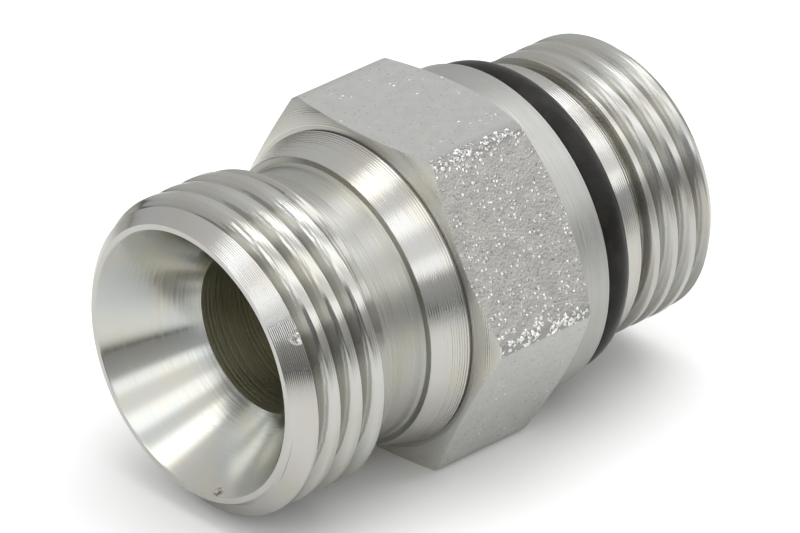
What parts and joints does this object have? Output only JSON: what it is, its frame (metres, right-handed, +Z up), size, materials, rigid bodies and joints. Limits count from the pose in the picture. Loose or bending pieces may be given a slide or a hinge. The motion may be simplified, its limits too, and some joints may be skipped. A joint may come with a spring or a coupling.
{
  "type": "fuel hose connector",
  "caption": "Straight hose adapter with a hexagon: pipe-threaded end with an inner cone seat, and a threaded stud sealed by an O-ring.",
  "frame": {"origin": "on the resting plane, under the middle of the part's length and below the turning axis", "axes": "+X along the turning axis from the hose end to the stud end, +Z up through the top flat of the hexagon, Y across two corners of the hexagon"},
  "size_m": [0.0364, 0.0251, 0.022],
  "materials": {
    "zinc_plated_steel": "bright zinc plating over turned and drawn steel",
    "seal_rubber": "smooth, slightly oily black rubber"
  },
  "bodies": {
    "root": {"adapter_body": "zinc_plated_steel", "o_ring": "seal_rubber"}
  },
  "joints": []
}
